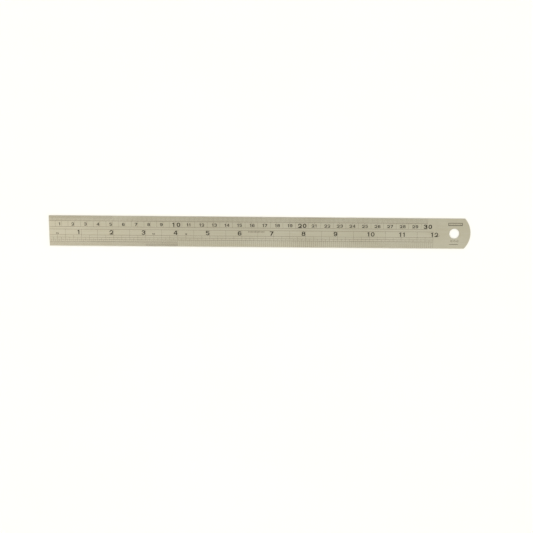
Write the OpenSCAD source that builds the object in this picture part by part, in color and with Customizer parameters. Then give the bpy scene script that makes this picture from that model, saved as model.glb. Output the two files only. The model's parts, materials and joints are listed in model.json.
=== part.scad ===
// Steel ruler: a satin stainless strip with a square zero end, a rounded end and a hanging hole.
// The graduations are etched into the face, and each group of them is filled with its own enamel.
// X runs along both scales from the zero end, +Y points to the metric edge, and the underside is Z = 0.

/* [Blade] */
// Overall length, from the zero end to the tip of the rounded end
blade_length = 334.6; // [330:0.2:345]
// Width between the metric edge and the inch edge
blade_width = 24; // [24:0.5:32]
// Thickness of the steel strip
blade_thickness = 0.8; // [0.5:0.05:1.5]
// Radius of the rounded end
end_radius = 17.4; // [17:0.2:24]
// Chamfer that deburring leaves along every edge
edge_break = 0.1; // [0.04:0.02:0.16]

/* [Hanging hole] */
// Diameter of the hanging hole
hole_diameter = 8; // [4:0.2:8.6]
// Distance from the tip of the rounded end to the middle of the hole
hole_inset = 12.9; // [10:0.1:14]

/* [Etching] */
// Width of every graduation mark
mark_width = 0.1; // [0.08:0.01:0.2]
// Width of the guide lines along the blade, which the marks end on
guide_width = 0.15; // [0.08:0.01:0.2]
// Depth of the etching below the face
etch_depth = 0.08; // [0.04:0.01:0.2]
// How far the enamel lies below the face
enamel_recess = 0.01; // [0.005:0.005:0.03]

/* [Metric scale] */
// Length of the metric scale, in centimetres
metric_length = 30; // [10:1:30]
// Length of the stretch divided into half millimetres, in centimetres
half_mm_length = 5; // [1:1:10]
// Reach of the half millimetre marks from the metric edge
half_mm_reach = 2.2; // [1.5:0.1:3]
// Distance from the metric edge to the guide line that ends the millimetre marks
mm_guide = 4.15; // [3.8:0.05:4.4]
// Distance from the metric edge to the guide line that ends the centimetre marks
cm_guide = 8.8; // [8.7:0.05:9.2]

/* [Inch scale] */
// Length of the inch scale, in inches
inch_length = 12; // [6:1:12]
// Length of the stretch divided into 32nds, in inches
fine_length = 4; // [4:1:6]
// Inch at which the 64ths begin, which run to the end of the 32nds
finest_start = 3; // [1:1:3]
// Reach of the 64th marks from the inch edge
sixty_fourth_reach = 2.1; // [1.5:0.1:3]
// Distance from the inch edge to the guide line that ends the 32nd marks
thirty_second_guide = 3.5; // [3.3:0.05:3.7]
// Distance from the inch edge to the guide line that ends the 16th marks
sixteenth_guide = 5.15; // [5:0.05:5.3]
// Distance from the inch edge to the guide line that ends the 8th marks
eighth_guide = 6.8; // [6.6:0.05:7]
// Distance from the inch edge to the guide line that ends the quarter marks
quarter_guide = 8.65; // [8.5:0.05:8.8]
// Distance from the inch edge to the guide line that ends the half inch and inch marks
inch_guide = 13.2; // [13:0.05:13.3]

/* [Numerals] */
// Height of the centimetre numerals
centimetre_height = 2.45; // [1.6:0.05:2.8]
// Height of the numerals at every tenth centimetre
decimetre_height = 3.4; // [3:0.05:3.6]
// Distance from the metric edge to the middle of the metric numerals
metric_row = 6.7; // [6.6:0.05:6.75]
// Height of the inch numerals
inch_height = 3.45; // [3:0.05:3.9]
// Height of the small labels that name the divisions of an inch
label_height = 1.2; // [0.8:0.1:1.6]
// Width of a numeral, as a part of its height
glyph_width = 0.84; // [0.78:0.01:0.86]
// Width of a numeral's upright strokes, as a part of its height
glyph_stroke = 0.21; // [0.16:0.01:0.22]
// Width of a numeral's level strokes, as a part of its height
glyph_bar = 0.17; // [0.16:0.01:0.2]
// Width of the upright strokes of the numerals at every tenth centimetre
decimetre_stroke = 0.24; // [0.16:0.01:0.25]
// Width of the level strokes of the numerals at every tenth centimetre
decimetre_bar = 0.19; // [0.16:0.01:0.21]
// Gap between a mark and the single numeral on its left
left_gap = 0.3; // [0.2:0.05:0.4]
// Gap between a mark and the first digit of a number that stands on both sides of it
first_digit_gap = 0.15; // [0.15:0.05:0.3]
// Gap between a centimetre mark and the second digit on its right
centimetre_second_gap = 0.5; // [0.3:0.05:0.7]
// The same gap at every tenth centimetre
decimetre_second_gap = 0.8; // [0.3:0.05:1]
// Gap between an inch mark and the second digit on its right
inch_second_gap = 1.1; // [0.3:0.05:1.2]

/* [Hidden] */
$fn = 48;

steel = "#b7b29d";
enamel = "#2e2a24";

inch = 25.4;
metric_edge = blade_width / 2;
inch_edge = -blade_width / 2;
hole_x = blade_length - hole_inset;
arc_centre_x = blade_length - end_radius;

// The marks stop just short of the chamfered edges.
mark_start = edge_break + 0.1;
enamel_thickness = etch_depth - enamel_recess;
spare = 1;

// The glyphs are drawn one unit high and scaled to size. The widths of their upright and level
// strokes are special variables, so that a number can be drawn with its own.
$upright = glyph_stroke;
$level = glyph_bar;
glyph_radius = glyph_width / 2;
upper_bowl = 0.275;

function one_width() = 0.2 + $upright;
function lower_bowl() = (1 + $level) / 2 - upper_bowl;

// ---- Flat outlines of the graduations ----

module metric_mark(x, reach) {
    translate([x - mark_width / 2, metric_edge - reach])
        square([mark_width, reach - mark_start]);
}

module inch_mark(x, reach) {
    translate([x - mark_width / 2, inch_edge + mark_start])
        square([mark_width, reach - mark_start]);
}

module guide_line(y, length) {
    translate([mark_start, y - guide_width / 2])
        square([length + mark_width / 2 - mark_start, guide_width]);
}

module metric_guides() {
    for (distance = [mm_guide, cm_guide])
        guide_line(metric_edge - distance, 10 * metric_length);
}

module inch_guides() {
    for (distance = [sixteenth_guide, eighth_guide, quarter_guide, inch_guide])
        guide_line(inch_edge + distance, inch * inch_length);
    guide_line(inch_edge + thirty_second_guide, inch * fine_length);
}

// The odd halves of a millimetre
module half_millimetres() {
    for (n = [1 : 2 : 20 * half_mm_length - 1])
        metric_mark(n / 2, half_mm_reach);
}

module millimetres() {
    for (n = [1 : 10 * metric_length])
        if (n % 5 != 0)
            metric_mark(n, mm_guide);
}

module five_millimetres() {
    for (n = [5 : 10 : 10 * metric_length])
        metric_mark(n, cm_guide);
}

module centimetres() {
    for (n = [1 : metric_length])
        metric_mark(10 * n, cm_guide);
}

// The odd multiples of one part of an inch, such as the odd 16ths
module inch_parts(parts, first, last, reach) {
    for (n = [first * parts + 1 : 2 : last * parts - 1])
        inch_mark(inch * n / parts, reach);
}

module inches() {
    for (n = [1 : inch_length])
        inch_mark(inch * n, inch_guide);
}

// ---- Numerals, built from arcs and bars ----

// A ring drawn out along Y, as tall as the glyph
module tall_ring() {
    difference() {
        tall_disc(glyph_radius, 0);
        tall_disc(glyph_radius - $upright, $level);
    }
}

// A disc drawn out along Y, which stays an inset away from the glyph's foot and top
module tall_disc(r, inset) {
    low = inset + r;
    high = 1 - low;
    for (y = [low, high])
        translate([glyph_radius, y])
            circle(r);
    translate([glyph_radius - r, low])
        square([2 * r, high - low]);
}

// A ring around the height y, drawn out along X
module wide_ring(y, half_height, inset = 0) {
    difference() {
        wide_disc(y, half_height, inset);
        wide_disc(y, half_height - $level, inset + $upright);
    }
}

// A disc drawn out along X, which stays an inset away from both sides of the glyph
module wide_disc(y, r, inset) {
    left = inset + r;
    right = glyph_width - left;
    for (x = [left, right])
        translate([x, y])
            circle(r);
    translate([left, y - r])
        square([right - left, 2 * r]);
}

// Opens the left side of a ring between two heights, as far as the round end of its counter
module left_window(low, high, half_height) {
    translate([-spare, low])
        square([spare + $upright + half_height - $level, high - low]);
}

module one() {
    stem_left = one_width() - $upright;
    polygon([
        [stem_left, 0],
        [one_width(), 0],
        [one_width(), 1],
        [one_width() - 0.13, 1],
        [0, 0.84],
        [0, 0.67],
        [stem_left, 0.75],
    ]);
}

// The slant of a two runs from the left end of its foot to the inner side of the arc. It lies
// a hair deeper in the ring than a tangent would, so that its sides cut both circles cleanly.
// The arc goes on under the slant for a few degrees.
module two() {
    centre = [glyph_radius, 1 - glyph_radius];
    inner_r = glyph_radius - $upright;
    tuck = 0.005;
    foot = [0, 0.1];
    aim = centre - foot;
    slant_angle = atan2(aim[1], aim[0]) - asin((inner_r - tuck) / norm(aim));
    along = [cos(slant_angle), sin(slant_angle)];
    down = [along[1], -along[0]];
    inner_start = centre + (inner_r - tuck) * down + 0.1 * along;
    outer_start = centre + (glyph_radius - tuck) * down;
    heel_x = outer_start[0] - (outer_start[1] - $level) * along[0] / along[1];
    cut_angle = slant_angle - 100;
    difference() {
        translate(centre)
            circle(glyph_radius);
        translate(centre)
            circle(inner_r);
        translate([glyph_radius, 1 - $level - inner_r])
            circle(inner_r);
        polygon([
            centre,
            centre + 2 * [cos(cut_angle), sin(cut_angle)],
            centre + [0, -2],
            centre + [-2, -2],
            centre + [-2, -0.02],
        ]);
    }
    polygon([
        inner_start,
        foot,
        [0, 0],
        [heel_x, 0],
        [heel_x, $level],
        outer_start,
    ]);
    square([glyph_width, $level]);
}

module three() {
    difference() {
        union() {
            wide_ring(1 - upper_bowl, upper_bowl, 0.02);
            wide_ring(lower_bowl(), lower_bowl());
        }
        left_window(0.29, 0.71, upper_bowl);
    }
}

module four() {
    stem = glyph_width - 0.12;
    low = 0.2;
    high = low + $level;
    difference() {
        polygon([
            [0, low],
            [stem - $upright, low],
            [stem - $upright, 0],
            [stem, 0],
            [stem, low],
            [glyph_width, low],
            [glyph_width, high],
            [stem, high],
            [stem, 1],
            [stem - 0.24, 1],
            [0, high + 0.02],
        ]);
        polygon([
            [stem - $upright, high],
            [stem - $upright, 0.76],
            [0.18, high],
        ]);
    }
}

module five() {
    bowl = 0.325;
    bowl_inside = 2 * bowl - $level;
    margin = 0.04;
    difference() {
        wide_ring(bowl, bowl);
        left_window(0.26, bowl_inside, bowl);
    }
    translate([margin, bowl_inside])
        square([$upright - 0.02, 1 - bowl_inside]);
    translate([margin, 1 - $level])
        square([glyph_width - 2 * margin, $level]);
}

module six() {
    bowl = 0.32;
    difference() {
        tall_ring();
        translate([glyph_radius, bowl])
            square([spare, 0.7 - bowl]);
    }
    wide_ring(bowl, bowl);
}

module seven() {
    polygon([
        [0, 1],
        [glyph_width, 1],
        [glyph_width, 0.86],
        [0.39, 0],
        [0.15, 0],
        [0.51, 1 - $level],
        [0, 1 - $level],
    ]);
}

module eight() {
    wide_ring(1 - upper_bowl, upper_bowl, 0.03);
    wide_ring(lower_bowl(), lower_bowl());
}

module nine() {
    translate([glyph_width, 1])
        rotate(180)
            six();
}

module glyph(digit) {
    if (digit == 0) tall_ring();
    if (digit == 1) one();
    if (digit == 2) two();
    if (digit == 3) three();
    if (digit == 4) four();
    if (digit == 5) five();
    if (digit == 6) six();
    if (digit == 7) seven();
    if (digit == 8) eight();
    if (digit == 9) nine();
}

// A digit whose box starts at x and is centred on the height y. A one is narrower than
// the box, and one_place says where in it the one stands, from 0, left, to 1, right.
module digit_at(digit, x, y, height, one_place = 0.5) {
    shift = digit == 1 ? one_place * (glyph_width - one_width()) : 0;
    translate([x + shift * height, y - height / 2])
        scale(height)
            glyph(digit);
}

// A number below 10 stands to the left of its mark.
module single_number(value, mark, y, height) {
    digit_at(value, mark - left_gap - glyph_width * height, y, height, 0.1);
}

// A number from 10 up has its first digit to the left of its mark and its second to the right.
module double_number(value, mark, y, height, second_gap, one_place) {
    digit_at(floor(value / 10), mark - first_digit_gap - glyph_width * height, y, height, one_place);
    digit_at(value % 10, mark + second_gap, y, height, 0.1);
}

// A two-digit number centred on x
module label_at(value, x, y, height) {
    space = 0.12 * height;
    digit_at(floor(value / 10), x - space / 2 - glyph_width * height, y, height, 1);
    digit_at(value % 10, x + space / 2, y, height);
}

module small_numbers() {
    row = metric_edge - metric_row;
    for (n = [1 : metric_length])
        if (n < 10)
            single_number(n, 10 * n, row, centimetre_height);
        else if (n % 10 != 0)
            double_number(n, 10 * n, row, centimetre_height, centimetre_second_gap, 0.9);
}

module ten_numbers() {
    row = metric_edge - metric_row;
    for (n = [10 : 10 : metric_length])
        double_number(
            n, 10 * n, row, decimetre_height, decimetre_second_gap, 0.35,
            $upright = decimetre_stroke, $level = decimetre_bar
        );
}

module inch_numbers() {
    row = inch_edge + (quarter_guide + inch_guide) / 2;
    for (n = [1 : inch_length])
        if (n < 10)
            single_number(n, inch * n, row, inch_height);
        else
            double_number(n, inch * n, row, inch_height, inch_second_gap, 0.9);
    if (inch_length >= 10)
        end_dot(row);
}

// A dot after the two digits of the last inch number
module end_dot(row) {
    digits_end = inch * inch_length + inch_second_gap + glyph_width * inch_height;
    translate([digits_end + 0.65, row - 0.9])
        circle(0.3);
}

// Each label stands a quarter inch into the stretch that it names.
module labels() {
    row = inch_edge + quarter_guide + 1.25;
    label_at(32, inch / 4, row, label_height);
    label_at(64, inch * (finest_start + 1 / 4), row, label_height);
    label_at(16, inch * (fine_length + 1 / 4), row, label_height);
}

// ---- Plain ornaments in place of a maker's lettering ----

// An outlined little ruler above the hanging hole, with marks along its lower side
module small_ruler() {
    size = [11.4, 2.3];
    line = 0.38;
    mark = 0.25;
    marks = 11;
    translate([hole_x + 0.6, metric_edge - 4.6] - size / 2) {
        difference() {
            square(size);
            translate([line, line])
                square(size - 2 * [line, line]);
        }
        for (n = [1 : marks])
            translate([n * size[0] / (marks + 1) - mark / 2, 0])
                square([mark, line + (n % 2 == 0 ? 0.85 : 0.5)]);
    }
}

// A row of short upright bars under the inch scale's upper guide line
module bar_row() {
    bars = 12;
    pitch = 1.1;
    bar = [0.3, 1.25];
    centre = [163.9, inch_edge + inch_guide - 1];
    for (n = [0 : bars - 1])
        translate(centre + [(n - (bars - 1) / 2) * pitch, 0] - bar / 2)
            square(bar);
}

// Three outlined diamonds and a bar below the hanging hole
module diamonds_and_bar() {
    half = 0.95;
    hollow = 0.7;
    centre = [hole_x + 0.3, inch_edge + 6.1];
    for (n = [-1 : 1])
        translate(centre + [2.4 * n, 0])
            difference() {
                rhombus(half);
                rhombus(hollow);
            }
    translate(centre + [-4.2, -2.9])
        square([7.3, 0.3]);
}

module rhombus(half) {
    polygon([
        [half, 0],
        [0, half],
        [-half, 0],
        [0, -half],
    ]);
}

// ---- Etching and enamel ----

// The pocket that a flat outline leaves in the face
module etched() {
    translate([0, 0, blade_thickness - etch_depth])
        linear_extrude(etch_depth + spare)
            children();
}

// The enamel that fills the same outline
module filled() {
    color(enamel)
        translate([0, 0, blade_thickness - etch_depth])
            linear_extrude(enamel_thickness)
                children();
}

// Marks broken where the guide lines of their own scale cross them
module broken_by_metric_guides() {
    difference() {
        children();
        metric_guides();
    }
}

module broken_by_inch_guides() {
    difference() {
        children();
        inch_guides();
    }
}

// ---- Blade ----

// The strip's outline along X, with its chamfered zero end, carried across the width
module profile_along() {
    rotate([90, 0, 0])
        linear_extrude(blade_width + 2 * spare, center = true)
            polygon([
                [0, edge_break],
                [edge_break, 0],
                [blade_length + spare, 0],
                [blade_length + spare, blade_thickness],
                [edge_break, blade_thickness],
                [0, blade_thickness - edge_break],
            ]);
}

// The strip's section across its width, with both long edges chamfered, carried along X
module profile_across() {
    half = blade_width / 2;
    translate([-spare, 0, 0])
        rotate([90, 0, 90])
            linear_extrude(blade_length + 2 * spare)
                polygon([
                    [-half + edge_break, 0],
                    [half - edge_break, 0],
                    [half, edge_break],
                    [half, blade_thickness - edge_break],
                    [half - edge_break, blade_thickness],
                    [-half + edge_break, blade_thickness],
                    [-half, blade_thickness - edge_break],
                    [-half, edge_break],
                ]);
}

// A chamfered disc for the rounded end, and all that lies to the left of its middle
module profile_around() {
    translate([arc_centre_x, 0, 0])
        rotate_extrude($fn = 240)
            polygon([
                [0, 0],
                [end_radius - edge_break, 0],
                [end_radius, edge_break],
                [end_radius, blade_thickness - edge_break],
                [end_radius - edge_break, blade_thickness],
                [0, blade_thickness],
            ]);
    translate([-spare, -blade_width, 0])
        cube([arc_centre_x + spare, 2 * blade_width, blade_thickness]);
}

module hanging_hole() {
    hole_radius = hole_diameter / 2;
    translate([hole_x, 0, 0])
        rotate_extrude($fn = 96)
            polygon([
                [0, -spare],
                [hole_radius + edge_break + spare, -spare],
                [hole_radius, edge_break],
                [hole_radius, blade_thickness - edge_break],
                [hole_radius + edge_break + spare, blade_thickness + spare],
                [0, blade_thickness + spare],
            ]);
}

module blade() {
    color(steel)
        difference() {
            intersection() {
                profile_along();
                profile_across();
                profile_around();
            }
            hanging_hole();
            etched() metric_guides();
            etched() half_millimetres();
            etched() millimetres();
            etched() five_millimetres();
            etched() centimetres();
            etched() small_numbers();
            etched() ten_numbers();
            etched() inch_guides();
            etched() inch_parts(64, finest_start, fine_length, sixty_fourth_reach);
            etched() inch_parts(32, 0, fine_length, thirty_second_guide);
            etched() inch_parts(16, 0, inch_length, sixteenth_guide);
            etched() inch_parts(8, 0, inch_length, eighth_guide);
            etched() inch_parts(4, 0, inch_length, quarter_guide);
            etched() inch_parts(2, 0, inch_length, inch_guide);
            etched() inches();
            etched() inch_numbers();
            etched() labels();
            etched() small_ruler();
            etched() bar_row();
            etched() diamonds_and_bar();
        }
}

// ---- Enamel of the metric scale ----

module metric_guide_lines() {
    filled() metric_guides();
}

module half_millimetre_marks() {
    filled() half_millimetres();
}

module millimetre_marks() {
    filled() broken_by_metric_guides() millimetres();
}

module five_millimetre_marks() {
    filled() broken_by_metric_guides() five_millimetres();
}

module centimetre_marks() {
    filled() broken_by_metric_guides() centimetres();
}

module centimetre_numerals() {
    filled() small_numbers();
}

module decimetre_numerals() {
    filled() ten_numbers();
}

// ---- Enamel of the inch scale ----

module inch_guide_lines() {
    filled() inch_guides();
}

module sixty_fourth_inch_marks() {
    filled() inch_parts(64, finest_start, fine_length, sixty_fourth_reach);
}

module thirty_second_inch_marks() {
    filled() broken_by_inch_guides() inch_parts(32, 0, fine_length, thirty_second_guide);
}

module sixteenth_inch_marks() {
    filled() broken_by_inch_guides() inch_parts(16, 0, inch_length, sixteenth_guide);
}

module eighth_inch_marks() {
    filled() broken_by_inch_guides() inch_parts(8, 0, inch_length, eighth_guide);
}

module quarter_inch_marks() {
    filled() broken_by_inch_guides() inch_parts(4, 0, inch_length, quarter_guide);
}

module half_inch_marks() {
    filled() broken_by_inch_guides() inch_parts(2, 0, inch_length, inch_guide);
}

module inch_marks() {
    filled() broken_by_inch_guides() inches();
}

module inch_numerals() {
    filled() inch_numbers();
}

module division_labels() {
    filled() labels();
}

// ---- Enamel of the ornaments ----

module emblem() {
    filled() small_ruler();
}

module grade_bars() {
    filled() bar_row();
}

module size_symbols() {
    filled() diamonds_and_bar();
}

blade();
metric_guide_lines();
half_millimetre_marks();
millimetre_marks();
five_millimetre_marks();
centimetre_marks();
centimetre_numerals();
decimetre_numerals();
inch_guide_lines();
sixty_fourth_inch_marks();
thirty_second_inch_marks();
sixteenth_inch_marks();
eighth_inch_marks();
quarter_inch_marks();
half_inch_marks();
inch_marks();
inch_numerals();
division_labels();
emblem();
grade_bars();
size_symbols();
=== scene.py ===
"""Looks of the satin steel ruler: materials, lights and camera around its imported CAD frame."""

import json
from math import radians

import bpy
from mathutils import Euler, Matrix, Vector


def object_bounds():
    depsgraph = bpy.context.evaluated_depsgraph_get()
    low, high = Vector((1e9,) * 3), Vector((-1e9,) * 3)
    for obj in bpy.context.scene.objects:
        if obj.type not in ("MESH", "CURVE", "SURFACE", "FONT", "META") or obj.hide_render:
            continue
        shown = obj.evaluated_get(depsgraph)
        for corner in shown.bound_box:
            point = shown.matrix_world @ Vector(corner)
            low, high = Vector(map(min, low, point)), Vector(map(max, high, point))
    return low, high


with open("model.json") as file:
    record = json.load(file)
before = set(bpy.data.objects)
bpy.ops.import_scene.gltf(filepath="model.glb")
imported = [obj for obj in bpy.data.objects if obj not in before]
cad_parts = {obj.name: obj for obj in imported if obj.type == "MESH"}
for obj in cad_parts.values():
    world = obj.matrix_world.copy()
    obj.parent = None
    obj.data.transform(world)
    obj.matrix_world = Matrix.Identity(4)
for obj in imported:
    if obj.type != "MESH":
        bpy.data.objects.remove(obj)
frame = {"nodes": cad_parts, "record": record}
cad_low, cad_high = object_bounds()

MM = 0.001
END_RADIUS = 17.4 * MM  # of the blade's rounded end

DAYLIGHT = (1.0, 0.985, 0.94)
LAMPLIGHT = (1.0, 0.93, 0.88)


# ---------------------------------------------------------------- node helpers

class Nodes:
    """Adds shader nodes to one material and links them."""

    def __init__(self, name):
        self.material = bpy.data.materials.new(name)
        self.material.use_nodes = True
        self.tree = self.material.node_tree
        self.shader = self.tree.nodes["Principled BSDF"]
        self.place = self.add("ShaderNodeTexCoord").outputs["Object"]
        parts = self.add("ShaderNodeSeparateXYZ", Vector=self.place).outputs
        self.x, self.y, self.z = parts

    def add(self, kind, settings=None, **inputs):
        node = self.tree.nodes.new(kind)
        for key, value in (settings or {}).items():
            setattr(node, key, value)
        for key, value in inputs.items():
            self.feed(node.inputs[key.replace("_", " ")], value)
        return node

    def feed(self, socket, value):
        if isinstance(value, bpy.types.NodeSocket):
            self.tree.links.new(value, socket)
        else:
            socket.default_value = value

    def math(self, operation, first, second=0.0):
        node = self.add("ShaderNodeMath", {"operation": operation})
        self.feed(node.inputs[0], first)
        self.feed(node.inputs[1], second)
        return node.outputs[0]

    def ramp(self, value, start, end, low=0.0, high=1.0):
        """Smooth step from low, where value is start, to high, where it is end."""
        node = self.add("ShaderNodeMapRange", {"interpolation_type": "SMOOTHSTEP"}, Value=value)
        for key, number in zip(("From Min", "From Max", "To Min", "To Max"), (start, end, low, high)):
            node.inputs[key].default_value = number
        return node.outputs[0]

    def mix(self, share, first, second):
        node = self.add("ShaderNodeMix", {"data_type": "RGBA"})
        self.feed(node.inputs["Factor"], share)
        self.feed(node.inputs[6], first)
        self.feed(node.inputs[7], second)
        return node.outputs[2]

    def noise(self, size, detail=2.0, turn=0.0, shift=0.0):
        """Noise whose features measure about size, three lengths in metres, turned about Z."""
        turned = self.add("ShaderNodeMapping", Vector=self.place, Rotation=(0, 0, turn))
        scaled = self.add("ShaderNodeMapping", Vector=turned.outputs[0])
        scaled.inputs["Scale"].default_value = [1 / length for length in size]
        scaled.inputs["Location"].default_value = (shift, shift, shift)
        made = self.add("ShaderNodeTexNoise", Vector=scaled.outputs[0], Scale=1.0, Detail=detail)
        return made.outputs[0]

    def from_axis(self, x):
        """Distance from the upright line through (x, 0)."""
        flat = self.add("ShaderNodeCombineXYZ", X=self.math("SUBTRACT", self.x, x), Y=self.y)
        length = self.add("ShaderNodeVectorMath", {"operation": "LENGTH"}, Vector=flat.outputs[0])
        return length.outputs["Value"]

    def bump(self, height, strength, depth):
        made = self.add("ShaderNodeBump", Height=height, Strength=strength, Distance=depth)
        self.feed(self.shader.inputs["Normal"], made.outputs[0])


# ---------------------------------------------------------------- materials

def rim_gap(n):
    """How far a point of the blade lies inside its nearest edge, seen from above."""
    sides = n.math("SUBTRACT", cad_high.y, n.math("ABSOLUTE", n.y))
    arc_x = cad_high.x - END_RADIUS
    arc = n.math("SUBTRACT", END_RADIUS, n.from_axis(arc_x))
    arc = n.math("MAXIMUM", arc, n.math("SUBTRACT", arc_x, n.x))
    outline = n.math("MINIMUM", n.math("MINIMUM", sides, n.x), arc)
    bore = next(mount for mount in frame["record"]["mounts"] if mount["name"] == "hanging_hole")
    hole = n.math("SUBTRACT", n.from_axis(bore["pos_m"][0]), bore["dims"]["r_mm"] * MM)
    return n.math("MINIMUM", outline, hole)


def scratches(n):
    """Long hairlines near the blade's own direction, and a few short ones that cross it."""
    lines = []
    for size, turn, start, shift in (
        ((42 * MM, 0.10 * MM, 0.10 * MM), 0.012, 0.66, 1.0),
        ((30 * MM, 0.08 * MM, 0.08 * MM), -0.035, 0.68, 2.7),
        ((12 * MM, 0.07 * MM, 0.07 * MM), 0.42, 0.73, 4.9),
        ((9 * MM, 0.06 * MM, 0.06 * MM), -0.80, 0.74, 6.2),
        ((7 * MM, 0.06 * MM, 0.06 * MM), 1.30, 0.75, 8.8),
    ):
        lines.append(n.ramp(n.noise(size, detail=0.5, turn=turn, shift=shift), start, start + 0.05))
    total = lines[0]
    for line in lines[1:]:
        total = n.math("MAXIMUM", total, line)
    return total


def satin_steel():
    """Rolled spring steel with a fine grain along the blade, faint haze, scratches and rubbed edges."""
    n = Nodes("satin_steel")
    grain = n.noise((9 * MM, 0.07 * MM, 0.07 * MM), detail=3)
    streaks = n.noise((90 * MM, 0.9 * MM, 0.9 * MM), detail=3, shift=3.1)
    haze = n.noise((38 * MM, 16 * MM, 16 * MM), detail=4, shift=7.7)
    mottle = n.noise((1.6 * MM, 1.1 * MM, 1.1 * MM), detail=4, shift=5.3)
    smudge = n.noise((14 * MM, 9 * MM, 9 * MM), detail=5, shift=9.4)
    hairlines = scratches(n)
    worn = n.math("MULTIPLY", n.ramp(rim_gap(n), 0.5 * MM, 0.08 * MM), n.ramp(mottle, 0.2, 0.7, 0.25, 1.0))

    base = n.mix(n.ramp(haze, 0.3, 0.7), (0.414, 0.388, 0.290, 1), (0.440, 0.420, 0.330, 1))
    base = n.mix(n.ramp(streaks, 0.25, 0.75, 0.0, 0.35), base, (0.465, 0.444, 0.352, 1))
    base = n.mix(n.ramp(grain, 0.3, 0.7, 0.0, 0.22), base, (0.336, 0.315, 0.242, 1))
    base = n.mix(n.ramp(smudge, 0.58, 0.75, 0.0, 0.18), base, (0.350, 0.329, 0.256, 1))
    base = n.mix(n.math("MULTIPLY", hairlines, 0.5), base, (0.53, 0.51, 0.43, 1))
    base = n.mix(n.math("MULTIPLY", worn, 0.6), base, (0.55, 0.53, 0.46, 1))

    rough = n.math("ADD", n.ramp(haze, 0.3, 0.7, 0.36, 0.42), n.ramp(grain, 0.3, 0.7, -0.03, 0.03))
    rough = n.math("ADD", rough, n.ramp(smudge, 0.58, 0.75, 0.0, 0.05))
    rough = n.math("SUBTRACT", rough, n.math("MULTIPLY", worn, 0.08))
    height = n.math("ADD", grain, n.math("MULTIPLY", mottle, 0.6))
    height = n.math("SUBTRACT", height, n.math("MULTIPLY", hairlines, 0.8))

    n.feed(n.shader.inputs["Base Color"], base)
    n.shader.inputs["Metallic"].default_value = 1.0
    n.feed(n.shader.inputs["Roughness"], rough)
    n.bump(height, 0.35, 0.004 * MM)
    return n.material


def dark_enamel():
    """Baked brown-black enamel in the etching. Thin spots of it let some of the steel show through."""
    n = Nodes("dark_enamel")
    cover = n.noise((2.2 * MM, 2.2 * MM, 2.2 * MM), detail=4)
    speckle = n.noise((0.12 * MM, 0.12 * MM, 0.12 * MM), detail=2, shift=2.0)
    tone = n.mix(n.ramp(cover, 0.35, 0.7), (0.012, 0.009, 0.005, 1), (0.032, 0.024, 0.014, 1))
    tone = n.mix(n.ramp(speckle, 0.50, 0.8, 0.0, 0.2), tone, (0.15, 0.12, 0.08, 1))
    n.feed(n.shader.inputs["Base Color"], tone)
    n.feed(n.shader.inputs["Roughness"], n.ramp(cover, 0.3, 0.7, 0.42, 0.62))
    n.shader.inputs["Specular IOR Level"].default_value = 0.2
    n.bump(speckle, 0.3, 0.003 * MM)
    return n.material


def pale_paper():
    """The white sheet that the ruler lies on, with a faint tooth."""
    n = Nodes("pale_paper")
    fibre = n.noise((0.5 * MM, 0.3 * MM, 0.3 * MM), detail=4)
    clouds = n.noise((120 * MM, 90 * MM, 90 * MM), detail=3, shift=4.0)
    tone = n.mix(n.ramp(clouds, 0.3, 0.7), (0.895, 0.892, 0.860, 1), (0.905, 0.902, 0.870, 1))
    n.feed(n.shader.inputs["Base Color"], tone)
    n.feed(n.shader.inputs["Roughness"], n.ramp(fibre, 0.3, 0.7, 0.86, 0.94))
    n.shader.inputs["Specular IOR Level"].default_value = 0.1
    n.bump(fibre, 0.2, 0.01 * MM)
    return n.material


def paint(piece, material):
    piece.data.materials.clear()
    piece.data.materials.append(material)


# ---------------------------------------------------------------- stage

def make_floor(top, size=40.0):
    bpy.ops.mesh.primitive_plane_add(size=size, location=(cad_high.x / 2, 0, top))
    floor = bpy.context.object
    floor.name = "paper_floor"
    paint(floor, pale_paper())


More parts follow.
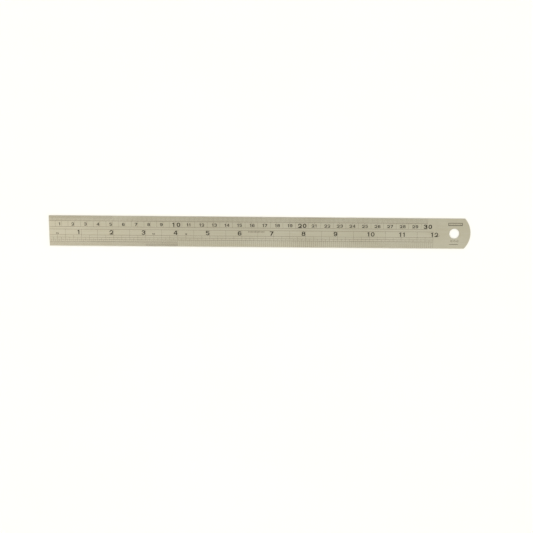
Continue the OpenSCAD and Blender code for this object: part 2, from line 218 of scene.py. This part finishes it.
def soft_light(name, place, size, power, tint):
    """An oblong soft box at place that faces the middle of the ruler."""
    middle = Vector((cad_high.x / 2, 0, 0))
    data = bpy.data.lights.new(name, "AREA")
    data.shape = "RECTANGLE"
    data.size, data.size_y = size
    data.energy = power
    data.color = tint
    light = bpy.data.objects.new(name, data)
    light.location = place
    light.rotation_euler = (middle - Vector(place)).to_track_quat("-Z", "Y").to_euler()
    bpy.context.collection.objects.link(light)


def make_world(tint, strength):
    """Even light from all around."""
    world = bpy.data.worlds.new("studio")
    world.use_nodes = True
    background = world.node_tree.nodes["Background"]
    background.inputs["Color"].default_value = (*tint, 1)
    background.inputs["Strength"].default_value = strength
    bpy.context.scene.world = world


def make_camera(place, turn, lens):
    data = bpy.data.cameras.new("camera")
    data.lens = lens
    data.sensor_width = 36.0
    camera = bpy.data.objects.new("camera", data)
    camera.location = place
    camera.rotation_euler = Euler(turn)
    bpy.context.collection.objects.link(camera)
    bpy.context.scene.camera = camera


# ---------------------------------------------------------------- the ruler

steel = satin_steel()
enamel = dark_enamel()
for name, node in frame["nodes"].items():
    paint(node, steel if name == "blade" else enamel)

make_floor(cad_low.z)

# The camera stands where the ruler's own graduations appear at their places in the picture.
make_camera((0.16521, 0.06802, 0.58543), [radians(a) for a in (-9.296, -0.604, 0.538)], 50.0)

# The strengths are balanced together: they set how the steel's brightness runs along and across the blade.
make_world(DAYLIGHT, 0.7)
soft_light("right_box", (1.5, -0.1, 1.0), (1.0, 1.0), 2.1, DAYLIGHT)
soft_light("inch_side_box", (0.17, -1.2, 1.2), (1.6, 0.9), 1.5, DAYLIGHT)
soft_light("metric_side_box", (0.17, 1.2, 1.2), (1.6, 0.9), 7.7, DAYLIGHT)
soft_light("high_left_box", (-0.8, -0.2, 1.3), (0.9, 0.9), 3.9, LAMPLIGHT)
soft_light("high_right_box", (1.1, -0.2, 1.3), (0.9, 0.9), 1.3, DAYLIGHT)
soft_light("overhead_box", (0.17, -0.55, 1.2), (1.0, 0.3), 2.8, DAYLIGHT)
bpy.context.scene.view_settings.view_transform = "Standard"
